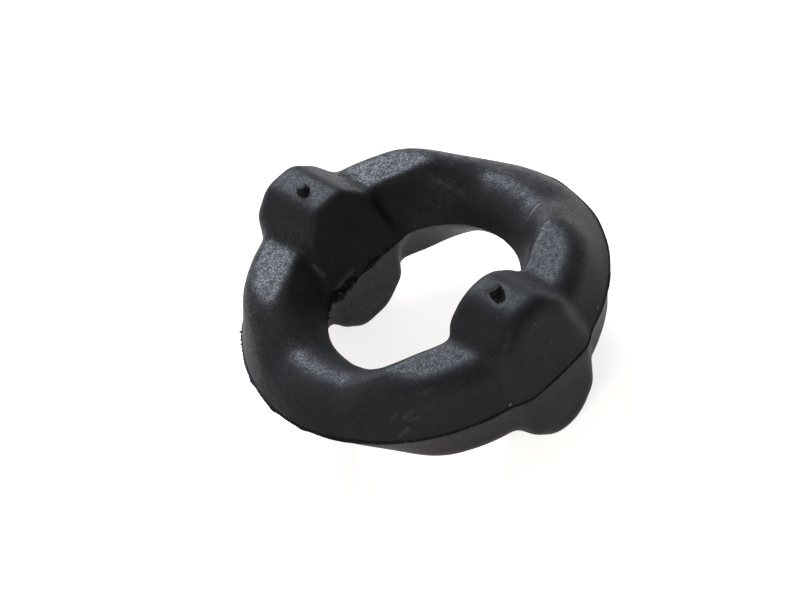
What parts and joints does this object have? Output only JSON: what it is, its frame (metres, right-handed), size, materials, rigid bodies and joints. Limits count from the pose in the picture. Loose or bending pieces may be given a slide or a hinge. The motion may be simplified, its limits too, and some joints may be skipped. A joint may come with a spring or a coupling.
{
  "type": "exhaust hanger",
  "caption": "Moulded rubber ring with two lugs on each face, hung between two hooks to carry and damp a car's exhaust.",
  "frame": {"origin": "centre of the ring, in the parting plane where the two mould halves met", "axes": "+Z along the ring's axis, out of the face with the vent pip; +X along the line through the lugs, towards the torn pip"},
  "size_m": [0.0668, 0.0646, 0.0301],
  "materials": {
    "black_rubber": "satin moulded rubber with a fine grain and light dust"
  },
  "bodies": {
    "root": {"hanger_ring": "black_rubber"}
  },
  "joints": []
}
